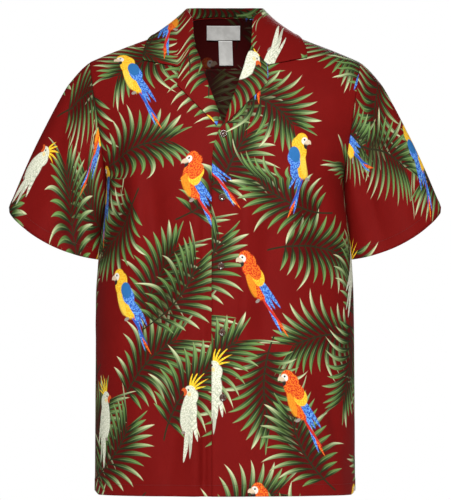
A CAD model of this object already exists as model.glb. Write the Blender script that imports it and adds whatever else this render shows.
# Short-sleeved camp-collar shirt with a tropical print, filled out with nobody in it.
# The front faces -Y, +X is the wearer's left and +Z is up. Its cloth is laid out in
# millimetres, as a pattern cutter does, and made in metres.
import math

import bmesh
import bpy
import numpy as np
from mathutils import Matrix, Vector


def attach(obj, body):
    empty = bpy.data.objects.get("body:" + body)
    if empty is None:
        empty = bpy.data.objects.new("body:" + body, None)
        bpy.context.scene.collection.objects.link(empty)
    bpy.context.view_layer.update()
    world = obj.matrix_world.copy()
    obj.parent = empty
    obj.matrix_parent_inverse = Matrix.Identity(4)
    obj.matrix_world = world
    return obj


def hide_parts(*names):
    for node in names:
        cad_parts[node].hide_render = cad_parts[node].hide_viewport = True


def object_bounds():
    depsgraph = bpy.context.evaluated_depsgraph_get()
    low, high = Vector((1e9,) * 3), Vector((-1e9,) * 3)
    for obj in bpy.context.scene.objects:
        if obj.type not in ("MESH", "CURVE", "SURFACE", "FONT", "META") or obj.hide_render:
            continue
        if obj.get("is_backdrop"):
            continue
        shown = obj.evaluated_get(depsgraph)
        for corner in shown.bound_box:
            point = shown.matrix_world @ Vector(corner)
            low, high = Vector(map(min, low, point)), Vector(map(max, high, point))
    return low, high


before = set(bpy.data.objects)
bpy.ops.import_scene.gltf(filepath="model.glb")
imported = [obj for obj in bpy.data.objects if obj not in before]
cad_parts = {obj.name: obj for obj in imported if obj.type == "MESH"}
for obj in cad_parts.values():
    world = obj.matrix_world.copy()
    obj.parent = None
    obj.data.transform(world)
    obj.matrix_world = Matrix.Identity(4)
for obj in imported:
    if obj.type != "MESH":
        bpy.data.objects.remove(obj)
cad_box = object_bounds()

# The photograph's view: level, straight from the front, from far enough away
# that the hem looks almost flat.
VIEW_HEIGHT = 0.81
VIEW_DISTANCE = 5.0
FILM = 36


def in_scene(name, data):
    thing = bpy.data.objects.new(name, data)
    bpy.context.collection.objects.link(thing)
    return thing


lens = bpy.data.cameras.new("camera")
lens.sensor_fit = "VERTICAL"
lens.sensor_height = FILM
lens.lens = FILM * VIEW_DISTANCE / VIEW_HEIGHT
camera = in_scene("camera", lens)
camera.location = (0.0008, -VIEW_DISTANCE, -0.3564)
camera.rotation_euler = (math.radians(90), 0, 0)
bpy.context.scene.camera = camera
bpy.context.scene.view_settings.view_transform = "Standard"

# Soft studio light: a strong lamp in front and above, a weak one beside it and one behind,
# in a white room with a plain pale floor.
ROOM_LIGHT = 0.17
room = bpy.data.worlds.new("room")
room.use_nodes = True
nodes, join = room.node_tree.nodes, room.node_tree.links.new
room_light = nodes["Background"]
room_light.inputs["Color"].default_value = (1, 1, 1, 1)
room_light.inputs["Strength"].default_value = ROOM_LIGHT
backdrop = nodes.new("ShaderNodeBackground")
backdrop.inputs["Color"].default_value = (1, 1, 1, 1)
seen = nodes.new("ShaderNodeLightPath")
either = nodes.new("ShaderNodeMixShader")
join(seen.outputs["Is Camera Ray"], either.inputs[0])
join(room_light.outputs[0], either.inputs[1])
join(backdrop.outputs[0], either.inputs[2])
join(either.outputs[0], nodes["World Output"].inputs["Surface"])
bpy.context.scene.world = room

LAMPS = (
    # name, place, aimed at, width, watts
    ("front_lamp", (0.05, -3.3, 1.2), (0, 0, -0.35), 0.8, 131),
    ("side_lamp", (2.6, -2.4, 0.6), (0, 0, -0.35), 0.8, 4),
    ("back_lamp", (0.8, 3.4, 1.4), (0, 0, -0.3), 1.6, 105),
)
for name, place, aim, width, watts in LAMPS:
    lamp = bpy.data.lights.new(name, "AREA")
    lamp.shape = "DISK"
    lamp.size = width
    lamp.energy = watts
    holder = in_scene(name, lamp)
    holder.location = place
    holder.rotation_euler = (Vector(aim) - Vector(place)).to_track_quat("-Z", "Y").to_euler()


def new_material(name, **finish):
    """A material whose shader has these numbers and colours on its own sockets."""
    material = bpy.data.materials.new(name)
    material.use_nodes = True
    for word, value in finish.items():
        socket = material.node_tree.nodes["Principled BSDF"].inputs[word.replace("_", " ")]
        socket.default_value = value
    return material


def finished(name, shape, *materials):
    """Makes a finished bmesh an object of the scene."""
    mesh = bpy.data.meshes.new(name)
    shape.to_mesh(mesh)
    shape.free()
    for material in materials:
        mesh.materials.append(material)
    return in_scene(name, mesh)


FLOOR_RADIUS = 1.9
FLOOR_Z = -0.93
shape = bmesh.new()
bmesh.ops.create_circle(shape, cap_ends=True, segments=96, radius=FLOOR_RADIUS)
bmesh.ops.translate(shape, verts=shape.verts, vec=(0, 0, FLOOR_Z))
floor_paint = new_material("floor_paint", Base_Color=(0.93, 0.93, 0.93, 1), Roughness=0.9)
finished("floor", shape, floor_paint)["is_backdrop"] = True


# Print: ordinary palm fronds and parrots of this script's own drawing on dark red cotton
# poplin. The fronds lie in four layers of staggered cells, and the birds in one on top.
class Wire:
    """A number on its way through a material. It adds up as a number does."""

    def __init__(self, tree, socket):
        self.tree = tree
        self.socket = socket

    def sum(self, operation, *others):
        return node(self.tree, "Math", {"operation": operation}, self, *others)

    def __add__(self, other):
        return self.sum("ADD", other)

    def __sub__(self, other):
        return self.sum("SUBTRACT", other)

    def __rsub__(self, other):
        return node(self.tree, "Math", {"operation": "SUBTRACT"}, other, self)

    def __mul__(self, other):
        return self.sum("MULTIPLY", other)

    def __truediv__(self, other):
        return self.sum("DIVIDE", other)

    __radd__ = __add__
    __rmul__ = __mul__


def node(tree, kind, settings, *values, output=0, **named):
    """Adds a node: its settings first, then its sockets by order or by name."""
    made = tree.nodes.new("ShaderNode" + kind)
    for word, setting in settings.items():
        setattr(made, word, setting)
    for key, value in [*enumerate(values), *named.items()]:
        if value is None:
            continue
        socket = made.inputs[key if isinstance(key, int) else key.replace("_", " ")]
        if isinstance(value, Wire):
            tree.links.new(value.socket, socket)
        elif isinstance(value, tuple) and len(value) == 3 and socket.type == "RGBA":
            socket.default_value = (*value, 1)
        else:
            socket.default_value = value
    return Wire(tree, made.outputs[output])


def fade(x, start, end):
    """0 at start and 1 at end, softly."""
    settings = {"interpolation_type": "SMOOTHSTEP"}
    return node(x.tree, "MapRange", settings, x, start, end, 0.0, 1.0)


def noise(place, scale, detail, space="2D"):
    return node(place.tree, "TexNoise", {"noise_dimensions": space}, place, None, scale, detail)


def feed(material, **wires):
    """Joins a pattern to the material's shader."""
    for word, wire in wires.items():
        socket = material.node_tree.nodes["Principled BSDF"].inputs[word.replace("_", " ")]
        wire.tree.links.new(wire.socket, socket)


def size_of(x):
    return x.sum("ABSOLUTE")


def whole(x):
    return x.sum("FLOOR")


def part(x):
    return x.sum("FRACT")


def root(x):
    return x.sum("SQRT")


def most(a, b):
    return a.sum("MAXIMUM", b)


def mix(share, under, over):
    """The colour `over` laid on `under`."""
    settings = {"data_type": "RGBA"}
    tree = next(wire.tree for wire in (share, under, over) if isinstance(wire, Wire))
    return node(tree, "Mix", settings, share, None, None, None, None, None, under, over, output=2)


def vector(x, y):
    return node(x.tree, "CombineXYZ", {}, x, y, 0.0)


def x_of(place):
    return node(place.tree, "SeparateXYZ", {}, place)


def y_of(place):
    return node(place.tree, "SeparateXYZ", {}, place, output=1)


def seen_from(place, x, y, turn, wide, high):
    """The place as seen from a shape's own middle, turned with it and in its own size."""
    spin = (0.0, 0.0, math.radians(turn))
    settings = {"vector_type": "TEXTURE"}
    return node(place.tree, "Mapping", settings, place, (x, y, 0.0), spin, (wide, high, 1.0))


def chance(number, salt):
    """A number from 0 to 1 that belongs to a whole number."""
    return node(number.tree, "TexWhiteNoise", {"noise_dimensions": "1D"}, None, number + salt)


def cells(place, wide, high, shift_x, shift_y, swing, stray_x, stray_y, salt):
    """Staggered cells: the place within its cell, moved and turned by chance, and a chance."""
    row_place = y_of(place) / high + shift_y
    row = whole(row_place)
    column_place = x_of(place) / wide + row * 0.5 + shift_x
    column = whole(column_place)
    key = vector(column + salt, row)
    dice = node(place.tree, "TexWhiteNoise", {"noise_dimensions": "2D"}, key, output=1)
    red, green, blue = (node(place.tree, "SeparateColor", {}, dice, output=i) for i in range(3))
    mirror = green.sum("GREATER_THAN", 0.5) * 2 - 1
    own_x = ((part(column_place) - 0.5) * wide + (part(red * 7.3) - 0.5) * stray_x) * mirror
    own_y = (part(row_place) - 0.5) * high + (part(red * 13.7) - 0.5) * stray_y
    settings = {"rotation_type": "Z_AXIS"}
    own = vector(own_x, own_y)
    return node(place.tree, "VectorRotate", settings, own, Angle=(red - 0.5) * swing), blue


def frond(under, place, salt):
    """A palm frond: narrow leaflets on both sides of a curved stem, pale at some tips."""
    x, y = x_of(place), y_of(place)
    bend = x - y * y * 0.0028
    side = fade(bend, -0.3, 0.3)
    away = size_of(bend)
    along = y + 58
    spacing = 10.6
    open_out = 1 + away * 0.0115
    arch = away * away * (side * 0.0030 + 0.0075)
    foot = (along - away * (0.56 - side * 0.14) + arch) / open_out
    count = foot / spacing
    odd = chance(whole(count) + side * 31, salt)
    f = part(count) - 0.5
    slant = foot * 0.0115 + 0.49 - away * 0.0180
    across = size_of(f) * open_out * spacing / root(1 + slant * slant)
    stretch = (0.62 + fade(foot, -6, 34) * 0.38) * (1 - fade(foot, 40, 118) * 0.55)
    q = away / (stretch * (56 + odd * 26))
    half = (1.2 + fade(q, 0.0, 0.45) * 3.6) * (1 - q * q * q)
    inside = fade(foot, -10, -8) * fade(foot, 113, 111) * fade(q, 1.0, 0.985)
    edge = half - across
    stem = fade(away, 1.8, 0.9) * fade(along, -34, -30) * fade(along, 116, 106)
    mask = most(fade(edge, 0.0, 0.7) * inside, stem)
    light = fade(q, 0.34, 0.95) * fade(odd, 0.26, 0.80)
    upper = fade(f, -0.10, 0.06)
    green = mix(upper, (0.030, 0.062, 0.020), (0.125, 0.245, 0.055))
    green = mix(fade(q, 0.80, 0.14) * 0.93, green, (0.014, 0.016, 0.007))
    green = mix(fade(q, 0.35, 0.85) * 0.5, green, (0.170, 0.310, 0.095))
    green = mix(fade(across, 0.9, 0.3) * fade(q, 0.15, 0.4) * 0.45, green, (0.26, 0.42, 0.15))
    green = mix(light * (0.26 + upper * 0.62), green, (0.80, 0.80, 0.50))
    green = mix(fade(q, 0.86, 1.0) * 0.6, green, (0.62, 0.30, 0.18))
    green = mix(stem * 0.85, green, (0.030, 0.018, 0.010))
    green = mix(fade(edge, 0.9, 0.1) * (1 - light) * 0.5, green, (0.020, 0.030, 0.010))
    core = fade(q, 0.85, 0.15) * fade(foot, -14, 2) * fade(foot, 116, 98)
    return mix(mask, mix(core * 0.6, under, (0.032, 0.004, 0.003)), green)


def oval(place, x, y, wide, high, turn=0, soft=0.08):
    own = seen_from(place, x, y, turn, wide, high)
    far = node(place.tree, "VectorMath", {"operation": "LENGTH"}, own, output=1)
    return fade(far, 1 + soft, 1 - soft)


def feather(place, x, y, long, wide, turn, bend=0.0):
    """A pointed feather from its foot at (x, y), in the direction turn."""
    own = seen_from(place, x, y, turn, long, long)
    u = x_of(own)
    off = size_of(y_of(own) - u * u * bend)
    half = root(most(u * (1 - u), 0.0)) * (1.25 - u * 0.5) * (wide / long)
    return fade(half - off, 0.0, 1.0 / long)


def macaw(under, place, kind, mottle):
    """A perched macaw with a long tail: red and yellow, or yellow with blue wings."""
    red = mix(mottle, (0.62, 0.035, 0.012), (0.86, 0.20, 0.02))
    yellow = mix(mottle, (0.88, 0.42, 0.02), (0.93, 0.62, 0.05))
    blue = mix(mottle, (0.030, 0.110, 0.55), (0.15, 0.38, 0.80))
    coat = mix(kind, red, yellow)
    paint = mix(feather(place, 7, -24, 74, 6.5, -76, 0.06), under, red)
    paint = mix(feather(place, 10, -22, 66, 6.0, -84, 0.05), paint, blue)
    dark = mix(kind, (0.55, 0.03, 0.02), (0.03, 0.10, 0.45))
    paint = mix(feather(place, 4, -24, 60, 5.0, -70, 0.05), paint, dark)
    paint = mix(oval(place, 0, 4, 13.5, 33, 8), paint, coat)
    paint = mix(oval(place, -3, 30, 12, 17, -22), paint, coat)
    belly = mix(kind, (0.90, 0.40, 0.02), (0.95, 0.70, 0.10))
    paint = mix(oval(place, -8, -2, 6, 20, 6) * 0.5, paint, belly)
    wing = seen_from(place, 9, 14, -78, 1, 1)
    barbs = part(x_of(wing) * 0.11 + size_of(y_of(wing)) * 0.10)
    flight = most(feather(place, 4, 12, 62, 8.5, -77, 0.05), feather(place, 9, 6, 58, 7.5, -70, 0.02))
    paint = mix(flight, paint, mix(fade(barbs, 0.55, 0.95) * 0.7, blue, (0.015, 0.04, 0.25)))
    paint = mix(oval(place, 7, 8, 10.5, 15, 6), paint, mix(kind, yellow, blue))
    paint = mix(oval(place, 5, 17, 9.5, 13, 4), paint, mix(kind, red, (0.03, 0.16, 0.42)))
    paint = mix(oval(place, -6, 43, 10.5, 11.5), paint, coat)
    paint = mix(oval(place, -11, 43, 5.4, 6.2, 10), paint, (0.82, 0.78, 0.70))
    paint = mix(oval(place, -10.5, 44.8, 1.5, 1.5, 0, 0.3), paint, (0.01, 0.01, 0.01))
    beak = oval(place, -16.5, 38.5, 5.6, 8.2, 20) * (1 - oval(place, -21.0, 33.5, 5.0, 6.5))
    paint = mix(beak, paint, mix(fade(y_of(place), 36, 40), (0.02, 0.02, 0.02), (0.70, 0.55, 0.38)))
    return mix(oval(place, -4, -28, 4.5, 2.6, 20), paint, (0.30, 0.26, 0.22))


def cockatoo(under, place, mottle):
    """A perched white cockatoo with a yellow crest."""
    white = mix(mottle, (0.60, 0.62, 0.46), (0.83, 0.83, 0.68))
    yellow = mix(mottle, (0.85, 0.45, 0.01), (0.95, 0.72, 0.05))
    paint = mix(feather(place, 3, -18, 56, 9, -84, -0.05), under, white)
    paint = mix(feather(place, 7, -16, 50, 7, -76, -0.05), paint, (0.50, 0.52, 0.40))
    paint = mix(oval(place, 0, 2, 14.5, 30, 6), paint, white)
    paint = mix(oval(place, -2, 26, 10.5, 18, -16), paint, white)
    wing = seen_from(place, 6, 14, -80, 1, 1)
    barbs = part(x_of(wing) * 0.10 + size_of(y_of(wing)) * 0.12)
    flight = most(feather(place, 3, 16, 58, 9.5, -80, 0.04), feather(place, 8, 12, 50, 8, -73, 0.03))
    paint = mix(flight, paint, mix(fade(barbs, 0.5, 0.95) * 0.55, white, (0.30, 0.34, 0.24)))
    for turn, long in ((112, 30), (96, 36), (80, 38), (62, 34), (44, 26)):
        paint = mix(feather(place, -5, 40, long, 4.0, turn, -0.28), paint, yellow)
    paint = mix(oval(place, -6, 39, 9.5, 10), paint, white)
    paint = mix(oval(place, -6, 35, 3.2, 3.2, 0, 0.6) * 0.6, paint, (0.90, 0.62, 0.10))
    paint = mix(oval(place, -9.0, 41.0, 1.4, 1.4, 0, 0.3), paint, (0.015, 0.01, 0.01))
    beak = oval(place, -15.0, 36.5, 4.6, 6.4, 20) * (1 - oval(place, -18.6, 32.2, 4.0, 5.2))
    paint = mix(beak, paint, (0.62, 0.10, 0.02))
    return mix(oval(place, -3, -27, 4.0, 2.4, 20), paint, (0.30, 0.24, 0.20))


FROND_LAYERS = (
    # cell width and height, shift in cells, straying, salt
    (250, 258, 0.10, 0.15, 34, 40, 3.0),
    (262, 252, 0.62, 0.55, 40, 34, 17.0),
    (256, 264, 0.35, 0.82, 36, 44, 29.0),
    (248, 256, 0.86, 0.34, 30, 36, 61.0),
)
GROUND = (0.172, 0.0045, 0.0036)


def print_colours(place):
    """The print's colour at a place on the flat cloth, in millimetres."""
    paint = mix(fade(noise(place, 0.02, 2.0), 0.3, 0.7) * 0.35, GROUND, (0.142, 0.0036, 0.0030))
    for wide, high, shift_x, shift_y, stray_x, stray_y, salt in FROND_LAYERS:
        own, _ = cells(place, wide, high, shift_x, shift_y, 2 * math.pi, stray_x, stray_y, salt)
        paint = frond(paint, own, salt)
    mottle = fade(noise(place, 0.42, 2.0), 0.44, 0.56)
    own, kind = cells(place, 172, 190, 0.84, 0.30, 0.6, 50, 20, 41.0)
    own = node(place.tree, "VectorMath", {"operation": "ADD"}, own, (0.0, -18.0, 0.0))
    bright = macaw(paint, own, kind.sum("GREATER_THAN", 0.38), mottle)
    return mix(kind.sum("GREATER_THAN", 0.72), bright, cockatoo(paint, own, mottle))


def cloth_material(name, fade_out):
    """Printed poplin. The wrong side shows the print faded by fade_out."""
    material = new_material(name, Specular_IOR_Level=0.08)
    tree = material.node_tree
    flat = node(tree, "UVMap", {"uv_map": "flat_cloth"})
    scale = {"operation": "SCALE"}
    place = node(tree, "VectorMath", scale, flat, None, None, 1000.0)
    colours = print_colours(place)
    if fade_out:
        colours = mix(fade_out, colours, (0.020, 0.0012, 0.0012))
    slub = noise(place, 1.1, 3.0)
    weave = node(tree, "TexChecker", {}, place, None, None, 2.4, output=1)
    nap = slub * 0.7 + weave * 0.3
    bump = node(tree, "Bump", {}, 0.10, 0.0004, Height=nap)
    feed(material, Base_Color=colours, Normal=bump, Roughness=0.66 + fade(slub, 0.3, 0.7) * 0.12)
    return material


cloth_outside = cloth_material("printed_poplin", 0)
cloth_inside = cloth_material("printed_poplin_wrong_side", 0.88)


# Back: one piece of printed poplin from the straight hem up to the yoke seam, with the
# back half of each side seam and armhole. It is a thin shell that follows the body's ring.
CLOTH = 0.9
DOUBLED_CLOTH = 2.1
HEM_Z = -751
UNDERARM_Z = -243
SHOULDER_X = 219
SHOULDER_Z = -53
UNDERARM_X = 191
ARMHOLE_HALF_DEPTH = 62
ARMHOLE_HIGH = SHOULDER_Z - UNDERARM_Z
NECK_X = 79
RING = 2.35
FRONT_DEPTH = 138
BACK_DEPTH = 150
SHOULDER_ROUNDING = 300
SIDE_Z = (-243, -266, -313, -373, -430, -560, -751)
SIDE_HALF = (191, 192.5, 198, 204.5, 207.5, 209, 210.2)


def lerp(a, b, f):
    return a + (b - a) * f


def smooth(x, start, end):
    f = np.clip((x - start) / (end - start), 0, 1)
    return f * f * (3 - 2 * f)


def follow(keys, values, at):
    """A smooth curve through rows of a table, at any places between them."""
    keys, values = np.asarray(keys, float), np.asarray(values, float)
    if keys[-1] < keys[0]:
        keys, values = keys[::-1], values[::-1]
    k = np.clip(np.searchsorted(keys, at, side="right") - 1, 0, len(keys) - 2)
    before, after = np.maximum(k - 1, 0), np.minimum(k + 2, len(keys) - 1)
    span = keys[k + 1] - keys[k]
    f = np.clip((at - keys[k]) / span, 0, 1)
    slope_a = (values[k + 1] - values[before]) / (keys[k + 1] - keys[before]) * span
    slope_b = (values[after] - values[k]) / (keys[after] - keys[k]) * span
    start = (2 * f**3 - 3 * f**2 + 1) * values[k] + (f**3 - 2 * f**2 + f) * slope_a
    return start + (3 * f**2 - 2 * f**3) * values[k + 1] + (f**3 - f**2) * slope_b


def ridge(x):
    """Height of the shoulder line, which carries on over the neck as a low arch."""
    out = (np.abs(x) - NECK_X) / (SHOULDER_X - NECK_X)
    line = SHOULDER_Z * out + 9.6 * out * (1 - out)
    return np.where(out < 0, 15 * (1 - (x / NECK_X) ** 2), line)


def back_ridge(x, z):
    inside = np.clip(1 - np.abs(x / NECK_X) ** 3, 0, 1)
    return ridge(x) + 46.5 * inside**1.3 * smooth(z, -160, -20)


def armhole(side, turn):
    """The armhole's oval: turn 0 at the shoulder, 0.25 in front and 0.5 under the arm."""
    up = (1 + np.cos(turn * 2 * np.pi)) / 2
    y = -ARMHOLE_HALF_DEPTH * np.sin(turn * 2 * np.pi)
    return side * lerp(UNDERARM_X, SHOULDER_X, up), y, lerp(UNDERARM_Z, SHOULDER_Z, up)


def over(drop):
    return np.sqrt(1 - (1 - np.clip(drop / SHOULDER_ROUNDING, 0, 1)) ** 2)


def ring(share):
    return (1 - np.minimum(np.abs(share), 1) ** RING) ** (1 / RING)


def side_half(z):
    return follow(SIDE_Z, SIDE_HALF, z)


def ring_half_width(z, depth):
    up = np.clip((z - UNDERARM_Z) / ARMHOLE_HIGH, 0, 0.995)
    edge_x = lerp(UNDERARM_X, SHOULDER_X, up)
    edge_y = ARMHOLE_HALF_DEPTH * np.sqrt(1 - (2 * up - 1) ** 2)
    middle_y = depth * over((1 - up) * ARMHOLE_HIGH)
    beside = edge_x / (1 - (edge_y / middle_y) ** RING) ** (1 / RING)
    return np.where(z <= UNDERARM_Z, side_half(z), beside)


def soft_half_width(x, z, depth):
    soft = sum(ring_half_width(z + dz, depth) for dz in (-60, -30, 0, 30, 60)) / 5
    up = np.clip((z - UNDERARM_Z) / ARMHOLE_HIGH, 0, 1)
    beside = lerp(UNDERARM_X, SHOULDER_X, up)
    edge_x = np.where(z < UNDERARM_Z, ring_half_width(z, depth), beside)
    return lerp(soft, ring_half_width(z, depth), np.minimum(1, np.abs(x) / edge_x) ** 5)


def front_y(x, z):
    return -FRONT_DEPTH * ring(x / soft_half_width(x, z, FRONT_DEPTH)) * over(ridge(x) - z)


def back_y(x, z):
    return BACK_DEPTH * ring(x / soft_half_width(x, z, BACK_DEPTH)) * over(back_ridge(x, z) - z)


def folds_at(folds, x, z):
    """How far soft ridges and troughs push the cloth out."""
    out = np.zeros_like(x)
    for x0, z0, x1, z1, width, height in folds:
        dx, dz = x1 - x0, z1 - z0
        along = ((x - x0) * dx + (z - z0) * dz) / (dx * dx + dz * dz)
        across = ((x - x0) * dz - (z - z0) * dx) / math.hypot(dx, dz)
        ends = smooth(along, -0.15, 0.3) * (1 - smooth(along, 0.7, 1.15))
        out = out + height * ends * np.exp(-((across / width) ** 2))
    return out


def body_half(z):
    return np.where(z < UNDERARM_Z, side_half(z), UNDERARM_X)


def fold_fade(x, z):
    half = body_half(z)
    return (1 - smooth(np.abs(x), half - 26, half - 6)) * (1 - smooth(z, -170, -100))


BACK_FOLDS = (
    # x and z of one end, x and z of the other, width, height
    (-70, -190, -95, -560, 18, 8),
    (-34, -260, -44, -600, 20, -7),
    (55, -200, 90, -480, 18, 8),
    (96, -420, 170, -700, 18, -7),
    (-5, -330, 10, -700, 22, -6),
    (150, -260, 135, -640, 17, 7),
    (-160, -240, -150, -420, 17, -8),
    (-120, -480, -176, -730, 17, 8),
)


def back_place(x, z):
    out = folds_at(BACK_FOLDS, x, z) * fold_fade(x, z)
    return np.stack([x, back_y(x, z) + out, z], -1)


def hem_rise(share):
    return 6 * ring(share) + 6 * smooth(np.abs(share), 0.955, 1)


def even(row_place, rows, columns, ends):
    """Points of a grid whose columns are evenly spaced along each row, as the rows run."""
    q = np.linspace(0, 1, 241)
    if ends == "both":
        f = 0.5 + 0.5 * np.sign(2 * q - 1) * (1 - (1 - np.abs(2 * q - 1)) ** 3)
    else:
        f = 1 - (1 - q) ** 3
    dense = row_place(*np.broadcast_arrays(f[None, :], rows[:, None]))
    length = np.linalg.norm(np.diff(dense, axis=1), axis=2).cumsum(1)
    length = np.concatenate([np.zeros((len(rows), 1)), length], 1)
    wanted = np.linspace(0, 1, columns + 1)
    chosen = np.array([np.interp(wanted * line[-1], line, f) for line in length])
    return row_place(chosen, np.broadcast_to(rows[:, None], chosen.shape))


def outward(grid):
    """Direction out of the cloth at each point of a grid, seen with its columns to the right."""
    across = np.gradient(grid, axis=1)
    up = np.gradient(grid, axis=0)
    out = np.cross(across, up)
    return out / np.linalg.norm(out, axis=2, keepdims=True)


def flat_lengths(grid):
    """How far each point is along its row and up its column, on the flat cloth."""
    across = np.linalg.norm(np.diff(grid, axis=1), axis=2).cumsum(1)
    up = np.linalg.norm(np.diff(grid, axis=0), axis=2).cumsum(0)
    across = np.concatenate([np.zeros((len(grid), 1)), across], 1)
    up = np.concatenate([np.zeros((1, grid.shape[1])), up], 0)
    return across, up


def crinkles(across, up, seed, count, height, lean=0.0):
    """Small soft creases of uneven length, depth and direction."""
    draw = np.random.default_rng(seed)
    out = np.zeros_like(across)
    for _ in range(count):
        x0, z0 = draw.uniform(across.min(), across.max()), draw.uniform(up.min(), up.max())
        angle = lean + draw.normal(0, 0.55)
        long, wide = draw.uniform(35, 130), draw.uniform(5, 15)
        tall = draw.choice([-1, 1]) * draw.uniform(0.3, 1) * height * wide / 10
        dx, dz = across - x0, up - z0
        u = (dx * math.sin(angle) + dz * math.cos(angle)) / long
        v = (dx * math.cos(angle) - dz * math.sin(angle)) / wide
        out += tall * np.exp(-(u**2) * 4 - v**2)
    return out


def tucked(distance, depth=1.1, reach=4.0):
    """A seamed edge turns in over its last few millimetres."""
    return -depth * np.clip(1 - distance / reach, 0, 1) ** 2


def cloth_shell(name, grid, replaced, doubled=None, start=(0, 0), cloth=CLOTH, other_side=1, sleeve=False):
    """A thin cloth shell through a grid of points, with its pattern laid flat on it."""
    rows, columns = grid.shape[0] - 1, grid.shape[1] - 1
    across, up = flat_lengths(grid)
    across = across - across[:, [columns // 2]]
    upright = -1 if sleeve else 1
    shell = bmesh.new()
    bmesh.ops.create_grid(shell, x_segments=columns, y_segments=rows, size=0.5)
    flat = shell.loops.layers.uv.new("flat_cloth")
    weight = shell.verts.layers.deform.verify()
    places = {}
    for vert in shell.verts:
        j, i = round((vert.co.x + 0.5) * columns), round((vert.co.y + 0.5) * rows)
        places[vert] = (i, j)
        vert.co = Vector(grid[i, j]) / 1000
        vert[weight][0] = 0.0 if doubled is None else float(doubled[i, j])
    for face in shell.faces:
        for corner in face.loops:
            i, j = places[corner.vert]
            corner[flat].uv = ((across[i, j] + start[0]) / 1000, (upright * up[i, j] + start[1]) / 1000)
        face.smooth = True
    if sleeve:
        bmesh.ops.remove_doubles(shell, verts=shell.verts, dist=0.00001)
    piece = finished(name, shell, cloth_outside, cloth_inside)
    piece.vertex_groups.new(name="doubled_cloth")
    wall = piece.modifiers.new("cloth_thickness", "SOLIDIFY")
    wall.thickness = cloth / 1000
    wall.offset = 0
    wall.material_offset = other_side
    if doubled is not None:
        wall.thickness = DOUBLED_CLOTH * cloth / 1000
        wall.vertex_group = "doubled_cloth"
        wall.thickness_vertex_group = 0.48
    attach(piece, "root")
    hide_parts(replaced)
    return piece


def line_at(grid, distance, at):
    """The line on a grid where the distance that changes along its rows comes to `at`."""
    line = []
    for points, far in zip(grid, distance):
        if far[0] > far[-1]:
            points, far = points[::-1], far[::-1]
        line.append([np.interp(at, far, points[:, axis]) for axis in range(3)])
    return np.array(line)


HEM_STITCHES = 18
sewing = new_material("matching_thread", Base_Color=(0.085, 0.004, 0.004, 1), Roughness=0.55)


def stitching(name, lines, long=2.7, step=3.3):
    """Rows of small stitches along lines of places, each line with its way out of the cloth."""
    shape = bmesh.new()
    bmesh.ops.create_uvsphere(shape, u_segments=6, v_segments=4, radius=1)
    lying = Matrix.Rotation(math.pi / 2, 3, "Y")
    bmesh.ops.rotate(shape, verts=shape.verts, cent=(0, 0, 0), matrix=lying)
    one = np.array([vert.co for vert in shape.verts]) * (long / 2, 0.26, 0.20)
    faces = [[vert.index for vert in face.verts] for face in shape.faces]
    shape.free()
    corners, sides = [], []
    for line, out in lines:
        length = np.concatenate([[0], np.linalg.norm(np.diff(line, axis=0), axis=1).cumsum()])
        places = np.arange(step, length[-1] - step, step)
        ways = [[np.interp(places, length, way[:, axis]) for axis in range(3)] for way in (line, out)]
        at, up = (np.stack(way, -1) for way in ways)
        along = np.gradient(at, axis=0)
        for here, ahead, above in zip(at, along, up):
            ahead = ahead / np.linalg.norm(ahead)
            above = above - ahead * above.dot(ahead)
            above /= np.linalg.norm(above)
            turn = np.array((ahead, np.cross(above, ahead), above))
            sides += [[corner + len(corners) * len(one) for corner in face] for face in faces]
            corners.append(one @ turn + here)
    mesh = bpy.data.meshes.new(name)
    mesh.from_pydata(np.concatenate(corners) / 1000, [], sides)
    mesh.shade_smooth()
    mesh.materials.append(sewing)
    piece = in_scene(name, mesh)
    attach(piece, "root")
    return piece


def sewn_line(grid, distance, at, lift, columns=False):
    """A line of stitches `at` from an edge, and the way out of the cloth along it."""
    out = outward(grid)
    if columns:
        grid, distance, out = grid.transpose(1, 0, 2), distance.T, out.transpose(1, 0, 2)
    out = line_at(out, distance, at)
    return line_at(grid, distance, at) + out * lift, out


def hem_stitching(name, grid, up):
    return stitching(name, [sewn_line(grid, up, HEM_STITCHES, 1.0, columns=True)])


def hem_fold(up, deep=20):
    """1 where the hem's cloth is doubled, 0 past its stitching."""
    return 1 - smooth(up, deep - 1.5, deep + 1.5)


YOKE_SEAM_Z = -56
YOKE_SEAM_DROP = 26
yoke_turn = 0.5 * math.acos(1 - 2 * (SHOULDER_Z - YOKE_SEAM_Z + YOKE_SEAM_DROP) / ARMHOLE_HIGH) / math.pi
yoke_edge_x = armhole(1, yoke_turn)[0]


def yoke_seam_z(x):
    return YOKE_SEAM_Z - YOKE_SEAM_DROP * (x / yoke_edge_x) ** 2


def back_row(f, level):
    """level runs from -1 at the hem, through 0 at the underarm, to 1 at the yoke seam."""
    share = 1 - 2 * f
    low = np.clip(1 + level, 0, 1)
    z = lerp(HEM_Z, UNDERARM_Z, low)
    x = share * side_half(z)
    z = z + (1 - low) ** 3 * hem_rise(share)
    high = np.clip(level, 0, 1)
    edge_x, edge_y, edge_z = armhole(1, lerp(0.5, yoke_turn, high))
    x = np.where(level > 0, share * edge_x, x)
    rise = (yoke_seam_z(share * edge_x) - yoke_seam_z(edge_x)) * high
    z = np.where(level > 0, edge_z + rise, z)
    place = back_place(x, z)
    to_sleeve = np.where(level > 0, np.abs(edge_y) - back_y(edge_x, edge_z), 0)
    place[..., 1] += to_sleeve * smooth(np.abs(share), 0.8, 1)
    return place


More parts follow.
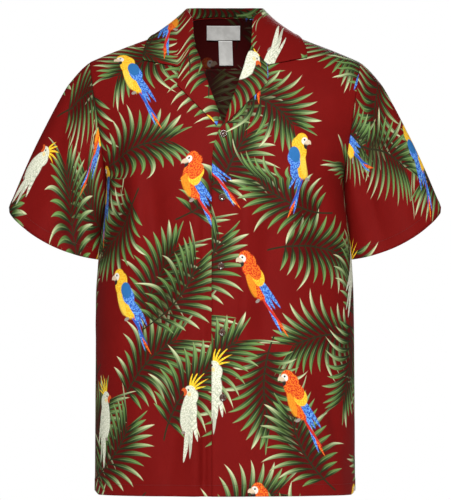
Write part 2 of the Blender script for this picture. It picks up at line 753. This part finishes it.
body_levels = np.concatenate([np.linspace(-1, 0, 146)[:-1], np.linspace(0, 1, 51)])
back_grid = even(back_row, body_levels, 160, "both")
across, up = flat_lengths(back_grid)
out = crinkles(across, up, 11, 60, 0.9) * smooth(up, 5, 40)
seam_depth = lerp(0.4, 0.9, smooth(body_levels, -0.02, 0.05))[:, None]
out += tucked(across, seam_depth) + tucked(across[:, [-1]] - across, seam_depth)
out += tucked(up[[-1], :] - up)
back_grid = back_grid + outward(back_grid) * out[..., None]
back = cloth_shell("shirt_back", back_grid, "back", hem_fold(up), start=(610, 90))
back_sewing = hem_stitching("back_stitching", back_grid, up)


# Yoke: a curved piece over both shoulders, joined to the back across the shoulder blades.
# Its upper edge holds the fronts at the shoulder seams and the collar round the neck.
COLLAR_NECK_X = (0, 31, 54, 70, 79, 73, 60, 47)
COLLAR_NECK_Y = (72, 67, 50, 26, 0, -28, -52, -70)


def top_z(x, y):
    """Height of the shoulders' cloth above a place seen from the top."""
    depth = np.where(y < 0, FRONT_DEPTH, BACK_DEPTH)
    z = ridge(x)
    for _ in range(12):
        top = np.where(y < 0, ridge(x), back_ridge(x, z))
        share = np.clip(np.abs(y) / (depth * ring(x / soft_half_width(x, z, depth))), 0, 0.999)
        z = lerp(z, top - SHOULDER_ROUNDING * (1 - np.sqrt(1 - share**2)), 0.7)
    return z


def yoke_row(f, level):
    share = 1 - 2 * f
    seam_x = share * yoke_edge_x
    seam_y = back_y(seam_x, yoke_seam_z(seam_x))
    wide = np.abs(share) * SHOULDER_X
    neck_row = np.clip(wide / NECK_X, 0, 1) * 4
    neck_x = np.sign(share) * follow(range(8), COLLAR_NECK_X, neck_row)
    neck_y = follow(range(8), COLLAR_NECK_Y, neck_row)
    top_x = np.where(wide >= NECK_X, share * SHOULDER_X, neck_x)
    top_y = np.where(wide >= NECK_X, 0, neck_y)
    x, y = lerp(seam_x, top_x, level), lerp(seam_y, top_y, level)
    edge_x, edge_y, edge_z = armhole(1, yoke_turn * (1 - level))
    place = np.stack([x, y, top_z(x, np.maximum(y, 0))], -1)
    edge = np.stack([share * edge_x, np.abs(edge_y), edge_z], -1)
    by_edge = smooth(np.abs(share), 0.94, 1)[..., None]
    return lerp(place, edge, by_edge)


yoke_grid = even(yoke_row, np.linspace(0, 1, 37), 160, "both")
across, up = flat_lengths(yoke_grid)
out = crinkles(across, up, 12, 14, 0.5, 0.6)
out += tucked(across, 0.9) + tucked(across[:, [-1]] - across, 0.9)
out += tucked(up) + tucked(up[[-1], :] - up)
yoke_grid = yoke_grid + outward(yoke_grid) * out[..., None]
yoke = cloth_shell("shirt_yoke", yoke_grid, "yoke", start=(610, 860))
yoke_sewing = stitching("yoke_stitching", [sewn_line(yoke_grid, up, 4, 0.5, columns=True)])


# Fronts: two pieces from the hem to the shoulder seams, each with half a side seam and
# armhole. The wearer's left front laps over the right one and carries the buttonholes.
EDGE_LEVEL = (0, 0.3, 0.42, 0.52, 0.66, 0.76, 0.84, 0.91, 0.96, 1)
EDGE_X = (-21, -18.5, -11.5, 1, 18, 29.5, 40.5, 60, 73, 79)
EDGE_Z = (-243, -198, -172, -147, -103, -70, -36, -15, -4.5, 0)
MIDDLE_X = -3
PLACKET_X = -21
LAP = 2.5
FRONT_FOLDS = (
    # x and z of one end, x and z of the other, width, height
    (-146, -205, -138, -370, 16, 9),
    (-176, -150, -170, -340, 15, -8),
    (-114, -240, -104, -420, 17, -8),
    (-44, -290, -80, -520, 15, 9),
    (-86, -330, -156, -530, 17, -10),
    (-46, -560, -48, -742, 13, 8),
    (-30, -230, -31, -640, 8, -5),
    (-30, -640, -31, -748, 9, -11),
    (-76, -600, -90, -742, 14, -6),
    (-150, -560, -128, -700, 20, 5),
    (34, -210, 26, -560, 22, 6),
    (74, -270, 58, -520, 17, -6),
    (102, -200, 110, -340, 16, 6),
    (146, -250, 150, -390, 17, -9),
    (92, -500, 198, -740, 16, 10),
    (62, -560, 150, -742, 18, -7),
    (166, -600, 180, -700, 9, -4),
)


def front_place(x, z):
    by_placket = smooth(np.abs(x - MIDDLE_X), 19, 36)
    out = folds_at(FRONT_FOLDS, x, z) * fold_fade(x, z) * by_placket
    return np.stack([x, front_y(x, z) - out, z], -1)


def mirror_edge(x, z):
    low = 1 - smooth(z, -36, -4.5)
    return 2 * MIDDLE_X * low - x


def front_edge(side, level):
    x, z = follow(EDGE_LEVEL, EDGE_X, level), follow(EDGE_LEVEL, EDGE_Z, level)
    return (x if side > 0 else mirror_edge(x, z)), z


def front_row(side):
    def row(f, level):
        low = np.clip(1 + level, 0, 1)
        z = lerp(HEM_Z, UNDERARM_Z, low)
        edge = PLACKET_X if side > 0 else mirror_edge(PLACKET_X, z)
        half = side_half(z)
        x = lerp(edge, side * half, f)
        z = z + (1 - low) ** 3 * hem_rise(x / half)
        high = np.clip(level, 0, 1)
        edge_x, edge_z = front_edge(side, high)
        outer_x, outer_y, outer_z = armhole(side, (1 - high) / 2)
        high_x = lerp(edge_x, outer_x, f)
        straight = SHOULDER_Z * (np.abs(high_x) - NECK_X) / (SHOULDER_X - NECK_X)
        arch = np.where(np.abs(high_x) > NECK_X, (ridge(high_x) - straight) * high**2, 0)
        x = np.where(level > 0, high_x, x)
        z = np.where(level > 0, lerp(edge_z, outer_z, f) + arch, z)
        place = front_place(x, z)
        to_sleeve = np.where(level > 0, outer_y - front_y(outer_x, outer_z), 0)
        place[..., 1] += to_sleeve * smooth(f, 0.8, 1)
        return place

    return row


def lap_lift(x, z):
    share = 1 - smooth(x, 19, 44)
    return share * (1 - smooth(z, -120, -60)) * LAP


def facing(side, shape):
    return shape if side > 0 else shape[:, ::-1]


def moved_out(surface, a, b, distance):
    """A place on a surface, moved square out of it."""
    along_a = surface(a + 1, b) - surface(a - 1, b)
    along_b = surface(a, b + 1) - surface(a, b - 1)
    out = np.cross(along_a, along_b)
    out /= np.linalg.norm(out, axis=-1, keepdims=True)
    return surface(a, b) + out * np.asarray(distance)[..., None]


BUTTONS = ((-2.5, -173.5), (-4.4, -273), (-6.2, -381.5), (-4.7, -486), (-3.2, -588.5))


def buttonhole(x, z, half=7.0):
    """Lines of thread round a buttonhole: both sides of its slit and a bar at each end."""
    along = np.linspace(-half, half, 15)
    across = np.linspace(-1.5, 1.5, 7)
    sides = [(x + shift + 0 * along, z + along) for shift in (-0.8, 0.8)]
    bars = [(x + across, z + shift + 0 * across) for shift in (-half, half)]
    lines = []
    for line_x, line_z in sides + bars:
        lift = lap_lift(line_x, line_z)
        line = moved_out(front_place, line_x, line_z, lift + 0.55)
        lines.append((line, line - moved_out(front_place, line_x, line_z, lift - 1)))
    return lines


front_levels = np.concatenate([np.linspace(-1, 0, 146)[:-1], np.linspace(0, 1, 75)])
for side, word, seed in ((-1, "right", 21), (1, "left", 22)):
    grid = facing(side, even(front_row(side), front_levels, 70, "last"))
    across, up = flat_lengths(grid)
    far = across[:, [-1]] - across
    from_edge, from_side = (across, far) if side > 0 else (far, across)
    out = crinkles(across, up, seed, 46, 0.8) * smooth(up, 5, 40) * smooth(from_edge, 12, 40)
    seam_depth = lerp(0.4, 0.9, smooth(front_levels, -0.02, 0.05))[:, None]
    out += tucked(from_side, seam_depth) + tucked(up[[-1], :] - up)
    if side > 0:
        out += lap_lift(grid[..., 0], grid[..., 2])
    grid = grid + outward(grid) * out[..., None]
    doubled = np.maximum(hem_fold(up), 1 - smooth(from_edge, 3, 5))
    start = (190, 90) if side > 0 else (-40, 128)
    piece = cloth_shell(f"shirt_{word}_front", grid, f"{word}_front", doubled, start)
    sewing_line = hem_stitching(f"{word}_front_stitching", grid, up)
    sewn = {"with_pieces": [sewing_line], "rests_on": ["yoke"]}
    if side > 0:
        holes = [line for x, z in BUTTONS for line in buttonhole(x, z)]
        sewn["with_pieces"].append(stitching("left_front_buttonholes", holes, 1.3, 0.55))


# Sleeves: short, set into the armholes, each one piece with a seam under the arm and a
# wide turned-up cuff. They stand open as ovals, and their undersides just clear the body.
CUFF_UNDER_Z = -372
CUFF_HALF_DEPTH = 37
SLEEVE_TOP_X = (219, 233, 247, 259, 285, 317, 352.5)
SLEEVE_TOP_Z = (-53, -65.5, -81.5, -98, -146, -211, -294)
SLEEVE_FOLDS = (
    # place round the sleeve, start and end along it, width, height
    (0.31, 0.05, 0.75, 0.035, -7),
    (0.14, 0.0, 0.45, 0.04, -5),
    (0.22, 0.2, 1, 0.045, 6),
    (0.72, 0.15, 0.9, 0.05, -6),
    (0.84, 0.0, 0.6, 0.04, 5),
)


def sleeve_row(side):
    def row(f, along):
        turn = f if side > 0 else 1 - f
        a = turn * 2 * np.pi
        top_x = follow(range(7), SLEEVE_TOP_X, along * 6)
        top_z_here = follow(range(7), SLEEVE_TOP_Z, along * 6)
        under_z = lerp(UNDERARM_Z, CUFF_UNDER_Z, along)
        under_x = np.minimum(side_half(under_z) + 0.7, 206)
        up = (1 + np.cos(a)) / 2
        half_depth = lerp(ARMHOLE_HALF_DEPTH, CUFF_HALF_DEPTH, smooth(along, -0.2, 1.1))
        x = lerp(under_x, top_x, up)
        y = -half_depth * np.sin(a)
        z = lerp(under_z, top_z_here, up)
        drop = np.where(np.sin(a) > 0, 15, 9) * np.sin(a) ** 2 * along**2
        x, z = x + drop * 0.45, z - drop * 0.89
        for place, start, end, width, height in SLEEVE_FOLDS:
            ends = smooth(along, start, start + 0.3) * (1 - smooth(along, end, end + 0.4))
            push = height * ends * np.exp(-(((turn - place) / width) ** 2))
            x = x + np.cos(a) * 0.8 * push
            y = y - np.sin(a) * push
            z = z + np.cos(a) * 0.5 * push
        seam_x, seam_y, seam_z = armhole(1, turn)
        by_seam = 1 - smooth(along, 0, 0.1)
        x, y, z = lerp(x, seam_x, by_seam), lerp(y, seam_y, by_seam), lerp(z, seam_z, by_seam)
        return np.stack([side * x, y, z], -1)

    return row


for side, word, seed in ((-1, "right", 31), (1, "left", 32)):
    grid = even(sleeve_row(side), np.linspace(0, 1, 73), 128, "both")
    across, up = flat_lengths(grid)
    wave = crinkles(across, up, seed, 26, 0.9, 0.3)
    wave[:, -1] = wave[:, 0]
    by_join = smooth(across, 0, 20) * smooth(across[:, [-1]] - across, 0, 20)
    last = up[[-1], :] - up
    on_top = np.linspace(0, 2 * np.pi, grid.shape[1])
    out = wave * by_join * smooth(up, 4, 30) + tucked(up, 0.9)
    out += tucked(last, 4.5, 11) * smooth(np.cos(on_top), 0.8, 1)
    normals = outward(grid)
    normals[:, 0] = normals[:, -1] = normals[:, 0] + normals[:, -1]
    normals /= np.linalg.norm(normals, axis=2, keepdims=True)
    grid = grid + normals * out[..., None]
    start = (1220, 60) if side < 0 else (1420, 420)
    piece = cloth_shell(
        f"shirt_{word}_sleeve", grid, f"{word}_sleeve", hem_fold(last), start, sleeve=True
    )
    sewing_line = hem_stitching(f"{word}_sleeve_stitching", grid, last)
    sewn = {"with_pieces": [sewing_line], "rests_on": [f"{word}_front", "yoke"]}


# Collar: a one-piece camp collar of doubled cloth. It stands up from the neck seam, folds
# over all round, and its leaf lies on the shoulders and fronts down to two points.
RIGHT_FOLD_X = (0, 28, 50, 60.5, 57.5, 50, 49, 47)
LEFT_FOLD_X = (0, 28, 50, 60.5, 53, 42.5, 41, 40.5)
FOLD_Y = (58, 54, 40, 19, -5, -31, -56, -76)
FOLD_Z = (40.5, 40.5, 40, 38, 31, 15, -9, -29)
EDGE_OUT_X = (0, 46, 83, 103, 111, 122, 130, 131)
EDGE_OUT_Y = (93, 88, 68, 36, 2, -24, -44, -61)
# Notch and point of the wearer's right and left leaf
NOTCH_X, NOTCH_Z = (72, 66.5), (-66.5, -63)
POINT_X, POINT_Z = (130.5, 130.5), (-54, -49.5)
LYING = 3.7
CLEAR_OF_FRONTS = 3.2
COLLAR_STITCHES = 6


def at_row(table, row):
    return follow(range(8), table, row)


def top_place(x, y):
    return np.stack([x, y, top_z(x, y)], -1)


def gorge_line(left, fold_x, fold_z, f):
    """The leaf's front edge: from the fold to the notch, then out to the collar's point."""
    to_notch = np.clip(f * 3, 0, 1)
    to_point = np.clip((f * 3 - 1) / 2, 0, 1)
    x = lerp(lerp(fold_x, np.where(left, NOTCH_X[1], NOTCH_X[0]), to_notch), POINT_X[0], to_point)
    notch_z, point_z = np.where(left, NOTCH_Z[1], NOTCH_Z[0]), np.where(left, POINT_Z[1], POINT_Z[0])
    z = lerp(lerp(fold_z, notch_z, to_notch), point_z, to_point)
    return moved_out(front_place, x, z, CLEAR_OF_FRONTS)


def collar_fold(station):
    row = np.abs(station) * 7
    x = np.where(station > 0, at_row(LEFT_FOLD_X, row), at_row(RIGHT_FOLD_X, row))
    return x, at_row(FOLD_Y, row), at_row(FOLD_Z, row)


def collar_leaf(station, f):
    row = np.abs(station) * 7
    fold_x, fold_y, fold_z = collar_fold(station)
    edge_x, edge_y = at_row(EDGE_OUT_X, row), at_row(EDGE_OUT_Y, row)
    fold = np.stack([fold_x, fold_y, fold_z], -1)
    rise = fold_z - top_z(fold_x, fold_y)
    arch = 1.5 * np.sin(np.pi * f)
    along_x, along_y = lerp(fold_x, edge_x, f), lerp(fold_y, edge_y, f)
    hugging = moved_out(top_place, along_x, along_y, LYING * f**0.8 + arch)
    hugging[..., 2] += rise * (1 - f)
    edge = moved_out(top_place, edge_x, edge_y, np.full_like(edge_x, LYING))
    straight = lerp(fold, edge, f[..., None])
    straight[..., 2] += arch
    behind = smooth(fold_y, 18, 52)[..., None]
    to_gorge = smooth(row, 5, 7)[..., None]
    gorge = gorge_line(station > 0, fold_x, fold_z, f)
    leaf = lerp(lerp(straight, hugging, behind), gorge, to_gorge)
    clear = moved_out(front_place, leaf[..., 0], leaf[..., 2], CLEAR_OF_FRONTS)[..., 1]
    leaf[..., 1] = np.where(row > 5, np.minimum(leaf[..., 1], clear), leaf[..., 1])
    return leaf


def collar_stand(station, f):
    row = np.abs(station) * 7
    neck = top_place(at_row(COLLAR_NECK_X, row), at_row(COLLAR_NECK_Y, row))
    neck[..., 2] += 0.7
    return lerp(neck, np.stack(collar_fold(station), -1), f[..., None] * 0.93)


def sided(grid, station):
    grid[..., 0] *= np.where(station < 0, -1, 1)
    return grid


stations = np.linspace(-1, 1, 181)[:, None]
stand_part = np.linspace(0, 1, 12)[None, :]
leaf_part = np.linspace(0, 1, 34)[None, :]
stand = sided(collar_stand(*np.broadcast_arrays(stations, stand_part)), stations)
leaf = sided(collar_leaf(*np.broadcast_arrays(stations, leaf_part)), stations)
grid = np.concatenate([stand, leaf], 1)
for _ in range(5):
    grid[:, 6:24] = grid[:, 5:23] * 0.25 + grid[:, 6:24] * 0.5 + grid[:, 7:25] * 0.25
across, up = flat_lengths(grid)
from_edge = across[:, [-1]] - across
out = crinkles(across, up, 41, 16, 0.35) * smooth(from_edge, 2, 20) + tucked(from_edge, 0.6, 2.5)
collar_grid = grid + outward(grid) * out[..., None]
collar = cloth_shell("shirt_collar", collar_grid, "collar", start=(-260, 700), cloth=1.3, other_side=0)
collar_sewing = stitching("collar_stitching", [sewn_line(collar_grid, from_edge, COLLAR_STITCHES, 0.7)])
sewn = {"with_pieces": [collar_sewing], "rests_on": ["yoke", "right_front", "left_front"]}


# Lapels: the facings of the two fronts, turned back over a soft roll at the open neck and
# sewn to the collar up to the notch.
LAPEL_ALONG = (0, 0.75, 1)
ROLL = 1.35
LAPEL_X = {-1: (12.5, 75.5, 72), 1: (0, 67.5, 66.5)}
LAPEL_Z = {-1: (-160, -95.5, -67), 1: (-158.5, -91, -63.5)}


def lapel_place(side, along, f):
    inner_x, inner_z = front_edge(side, lerp(0.53, 0.835, along))
    outer_x = side * np.interp(along, LAPEL_ALONG, LAPEL_X[side])
    outer_z = np.interp(along, LAPEL_ALONG, LAPEL_Z[side])
    x, z = lerp(inner_x, outer_x, f), lerp(inner_z, outer_z, f)
    lap = lap_lift(x, z) if side > 0 else 0
    flat = moved_out(front_place, x, z, 2.7 + lap + 1.2 * np.sin(np.pi * f))
    seam = collar_leaf(np.full_like(f, float(side)), lerp(0.09, 1, f) / 3)
    seam[..., 0] *= side
    seam[..., 2] -= 0.4 + 0.5 * (1.5 - f)
    return lerp(flat, seam, smooth(along, 0.9, 1)[..., None])


for side, word in ((-1, "right"), (1, "left")):
    along, f = np.meshgrid(np.linspace(0, 1, 61), np.linspace(0, 1, 31), indexing="ij")
    grid = lapel_place(side, along, f)
    first, second = grid[:, [0]], grid[:, [1]]
    into_neck = (first - second) / np.linalg.norm(first - second, axis=2, keepdims=True)
    normals = facing(side, outward(facing(side, grid)))[:, [0]]
    bend = np.linspace(-np.pi / 2, np.pi / 2, 9)[None, :-1, None]
    roll = first - normals * ROLL * (1 - np.sin(bend)) + into_neck * ROLL * np.cos(bend)
    grid = facing(side, np.concatenate([roll, grid], 1))
    across, up = flat_lengths(grid)
    start = (330, 360) if side > 0 else (60, 620)
    piece = cloth_shell(f"shirt_{word}_lapel", grid, f"{word}_lapel", start=start, other_side=0)


# Buttons: five four-hole buttons of dark mottled plastic with a raised rim, sewn through
# with dark thread.
BUTTON_PROFILE = (
    # radius and height, from the underside's middle to the dish's middle
    (0.0, 0.0),
    (4.6, 0.0),
    (5.35, 0.5),
    (5.7, 1.25),
    (5.65, 2.0),
    (5.3, 2.6),
    (4.8, 2.8),
    (4.3, 2.7),
    (3.8, 2.3),
    (3.2, 2.08),
    (0.0, 2.05),
)
HOLE_SPOT = 1.2
button_plastic = new_material("mottled_plastic", Roughness=0.2, Coat_Weight=0.5)
tree = button_plastic.node_tree
face_place = node(tree, "UVMap", {"uv_map": "button_face"})
far = node(tree, "VectorMath", {"operation": "LENGTH"}, face_place, output=1) * 1000
cloud = noise(face_place, 620.0, 3.0)
tone = mix(fade(cloud, 0.38, 0.66), (0.020, 0.010, 0.007), (0.150, 0.082, 0.048))
pale = fade(far, 3.5, 4.4) * fade(far, 5.7, 5.1) * fade(cloud, 0.30, 0.55)
feed(button_plastic, Base_Color=mix(pale * 0.75, tone, (0.50, 0.44, 0.38)))

thread = new_material("sewing_thread", Roughness=0.7)
fuzz = noise(node(thread.node_tree, "TexCoord", {}, output=3), 2500.0, 2.0, "3D")
feed(thread, Base_Color=mix(fade(fuzz, 0.3, 0.7), (0.060, 0.006, 0.007), (0.130, 0.012, 0.013)))


def front_frame(x, z, lift):
    """A place on the wearer's left front, with its Z square to the cloth, in metres."""
    at = moved_out(front_place, np.array(x, float), np.array(z, float), lift)
    below = moved_out(front_place, np.array(x, float), np.array(z, float), 0.0)
    out = Vector(at - below).normalized()
    side_way = Vector((1, 0, 0)).cross(out).cross(out) * -1
    up_way = out.cross(side_way)
    turn = Matrix((side_way, up_way, out)).transposed().to_4x4()
    return Matrix.Translation(Vector(at) / 1000) @ turn @ Matrix.Scale(0.001, 4)


def lathe(profile, steps):
    shape = bmesh.new()
    verts = [shape.verts.new((radius, 0, height)) for radius, height in profile]
    edges = [shape.edges.new(pair) for pair in zip(verts, verts[1:])]
    full = {"angle": 2 * math.pi, "steps": steps, "use_merge": True}
    bmesh.ops.spin(shape, geom=verts + edges, cent=(0, 0, 0), axis=(0, 0, 1), **full)
    bmesh.ops.remove_doubles(shape, verts=shape.verts, dist=0.001)
    bmesh.ops.recalc_face_normals(shape, faces=shape.faces)
    return shape


blank_button = finished("button_blank", lathe(BUTTON_PROFILE, 48))
shape = bmesh.new()
for x, y in ((1, 1), (-1, 1), (1, -1), (-1, -1)):
    spot = Matrix.Translation((x * HOLE_SPOT, y * HOLE_SPOT, 1.5))
    size = {"radius1": 0.8, "radius2": 0.8, "depth": 5, "segments": 14, "cap_ends": True}
    bmesh.ops.create_cone(shape, matrix=spot, **size)
drill = finished("drill", shape)
holes = blank_button.modifiers.new("holes", "BOOLEAN")
holes.object = drill
holes.operation = "DIFFERENCE"
holes.solver = "EXACT"
bpy.context.view_layer.update()
final_shapes = bpy.context.evaluated_depsgraph_get()
drilled = bpy.data.meshes.new_from_object(blank_button.evaluated_get(final_shapes))
bpy.data.objects.remove(blank_button)
bpy.data.objects.remove(drill)

for number, (x, z) in enumerate(BUTTONS, 1):
    lift = float(lap_lift(np.array(x), np.array(z))) + 0.85
    spot = front_frame(x, z, lift)
    shape = bmesh.new()
    shape.from_mesh(drilled)
    flat = shape.loops.layers.uv.new("button_face")
    for face in shape.faces:
        face.smooth = True
        for corner in face.loops:
            corner[flat].uv = (corner.vert.co.x / 1000, corner.vert.co.y / 1000 + number * 0.05)
    for y in (-HOLE_SPOT, HOLE_SPOT):
        for shift in (-0.35, 0.0, 0.35):
            strand = Matrix.Translation((0, y + shift, 2.0)) @ Matrix.Diagonal((1.75, 0.22, 0.42, 1))
            ball = {"u_segments": 10, "v_segments": 8, "radius": 1, "matrix": strand}
            made = bmesh.ops.create_uvsphere(shape, **ball)
            for vert in made["verts"]:
                for face in vert.link_faces:
                    face.material_index = 1
                    face.smooth = True
    turned = Matrix.Rotation(number * 0.7, 3, "Z")
    bmesh.ops.rotate(shape, verts=shape.verts, cent=(0, 0, 0), matrix=turned)
    bmesh.ops.transform(shape, matrix=spot, verts=shape.verts)
    piece = finished(f"sewn_button_{number}", shape, button_plastic, thread)
    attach(piece, "root")
    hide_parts(f"button_{number}")


# Labels: a wide neck label and a narrow care label below it, both bare pale woven tape,
# sewn inside the yoke behind the neck.
LABEL_LIFT = 3.2
tape = new_material("woven_tape", Roughness=0.6)
tree = tape.node_tree
flat_place = node(tree, "UVMap", {"uv_map": "flat_cloth"})
ribs = node(tree, "TexWave", {"bands_direction": "Y"}, flat_place, 900.0, 0.4, output=1)
cloud = fade(noise(flat_place, 90.0, 3.0), 0.3, 0.7)
tone = mix(cloud * 0.6 + ribs * 0.2, (0.60, 0.59, 0.56), (0.74, 0.73, 0.70))
feed(tape, Base_Color=tone, Normal=node(tree, "Bump", {}, 0.25, 0.0002, Height=ribs))


def back_only(x, z):
    return np.stack([x, back_y(x, z), z], -1)


LABELS = (
    # name, left, right, top, bottom, lean
    ("neck_label", -31, 25.5, 14, -9, 0),
    ("care_label", -11, 12, -9.8, -50.5, 1.5),
)
for name, left, right, top, bottom, lean in LABELS:
    up, across = np.meshgrid(np.linspace(0, 1, 25), np.linspace(0, 1, 29), indexing="ij")
    z = lerp(bottom, top, up)
    x = lerp(left, right, across) + lean * (1 - up)
    lift = LABEL_LIFT + 0.5 * np.sin(across * 7 + up * 3) * (1 - up)
    grid = moved_out(back_only, x, z, lift)
    piece = cloth_shell(f"bare_{name}", grid, name, cloth=0.5)
    piece.data.materials[0] = tape
    piece.data.materials[1] = tape
    wide, tall = flat_lengths(grid)
    size = (float(wide[:, -1].mean()) / 1000, float(tall[-1].mean()) / 1000)

size = {"cad": [list(map(float, corner)) for corner in cad_box]}
size["visual"] = [list(map(float, corner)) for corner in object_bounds()]
